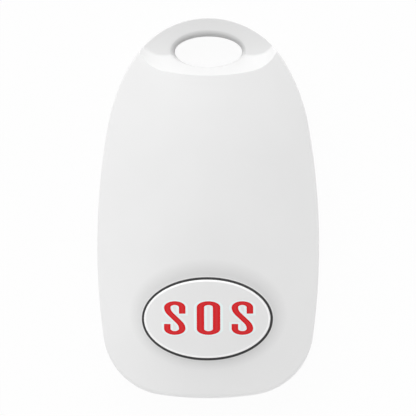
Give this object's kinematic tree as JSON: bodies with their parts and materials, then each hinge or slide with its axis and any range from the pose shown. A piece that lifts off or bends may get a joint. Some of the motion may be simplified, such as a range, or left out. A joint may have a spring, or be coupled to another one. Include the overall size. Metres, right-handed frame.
{
  "type": "wireless panic button",
  "caption": "Egg-shaped white pendant alarm button with a lanyard eye at its narrow end and an oval push button near its wide end.",
  "frame": {"origin": "on the flat back, under the middle of the case's length and width", "axes": "+Y towards the lanyard eye, +Z out of the front through the button, X across the case"},
  "size_m": [0.035, 0.06, 0.0142],
  "materials": {
    "case_plastic": "satin white moulded plastic",
    "button_plastic": "satin white moulded plastic with red letters",
    "seal_rubber": "soft grey rubber",
    "button_seal_rubber": "soft black rubber",
    "board_laminate": "green solder mask on glass fibre laminate",
    "switch_plastic": "black moulded plastic",
    "switch_steel": "bright sheet steel",
    "dome_steel": "bright spring steel",
    "plunger_plastic": "black moulded plastic",
    "tinned_leads": "tinned leads",
    "chip_plastic": "black moulded epoxy",
    "resonator_metal": "plated metal lid",
    "light_lens": "clear resin",
    "capacitor_ceramic": "tan ceramic",
    "resistor_ceramic": "black glaze",
    "gilt_contact": "gilt contact",
    "cell_steel": "nickel plated steel",
    "clip_steel": "plated spring steel",
    "screw_steel": "zinc plated steel",
    "coil_copper": "enamelled copper wire"
  },
  "bodies": {
    "case": {"front_shell": "case_plastic", "rear_shell": "case_plastic", "case_seal": "seal_rubber", "button_seal": "button_seal_rubber", "circuit_board": "board_laminate", "switch_base": "switch_plastic", "switch_cover": "switch_steel", "switch_dome": "dome_steel", "switch_terminals": "tinned_leads", "encoder_chip": "chip_plastic", "radio_transistor": "chip_plastic", "saw_resonator": "resonator_metal", "status_light": "light_lens", "chip_capacitors": "capacitor_ceramic", "chip_resistors": "resistor_ceramic", "battery_pad": "gilt_contact", "coin_cell": "cell_steel", "battery_clip": "clip_steel", "case_screws": "screw_steel", "board_screws": "screw_steel", "antenna_coil": "coil_copper"},
    "button": {"alarm_button": "button_plastic"},
    "plunger": {"switch_plunger": "plunger_plastic"}
  },
  "joints": [
    {"name": "button_press", "type": "slide", "parent": "case", "child": "button", "axis": [0, 0, -1], "range_m": [0, 0.0003], "stiffness_N_per_m": 5000},
    {"name": "plunger_slide", "type": "slide", "parent": "case", "child": "plunger", "axis": [0, 0, -1], "range_m": [0, 0.0003], "deforming": ["switch_dome"]}
  ],
  "couplings": [
    {"joint": "plunger_slide", "follows": "button_press", "ratio": 1}
  ]
}
